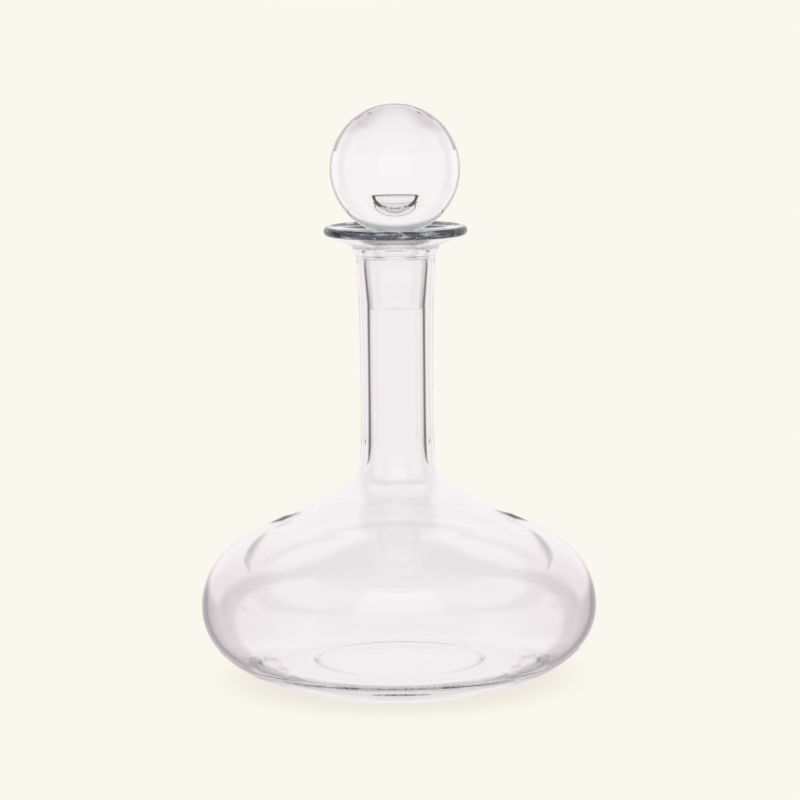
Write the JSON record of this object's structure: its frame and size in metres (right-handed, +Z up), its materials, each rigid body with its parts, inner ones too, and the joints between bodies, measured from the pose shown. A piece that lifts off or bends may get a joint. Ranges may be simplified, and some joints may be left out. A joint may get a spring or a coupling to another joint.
{
  "type": "wine decanter",
  "caption": "Wide, low glass decanter with a slim neck and flared pouring lip, closed by a solid glass ball stopper on a ground peg that lifts out.",
  "frame": {"origin": "centre of the foot, on the plane that the decanter stands on", "axes": "+Z up the axis of the bowl, neck and stopper; X and Y are any two directions at right angles to it, because every piece is round"},
  "size_m": [0.1852, 0.1852, 0.2688],
  "materials": {
    "vessel_glass": "clear, fire-polished",
    "ground_glass": "clear, with a finely ground and polished taper",
    "stopper_glass": "clear, polished"
  },
  "bodies": {
    "vessel": {"base": "vessel_glass", "heel": "vessel_glass", "body": "vessel_glass", "shoulder": "vessel_glass", "neck": "vessel_glass", "pouring_lip": "vessel_glass"},
    "stopper": {"stopper_peg": "ground_glass", "stopper_ball": "stopper_glass"}
  },
  "joints": [
    {"name": "stopper_lift", "type": "slide", "parent": "vessel", "child": "stopper", "axis": [0, 0, 1], "range_m": [0, 0.08]}
  ]
}
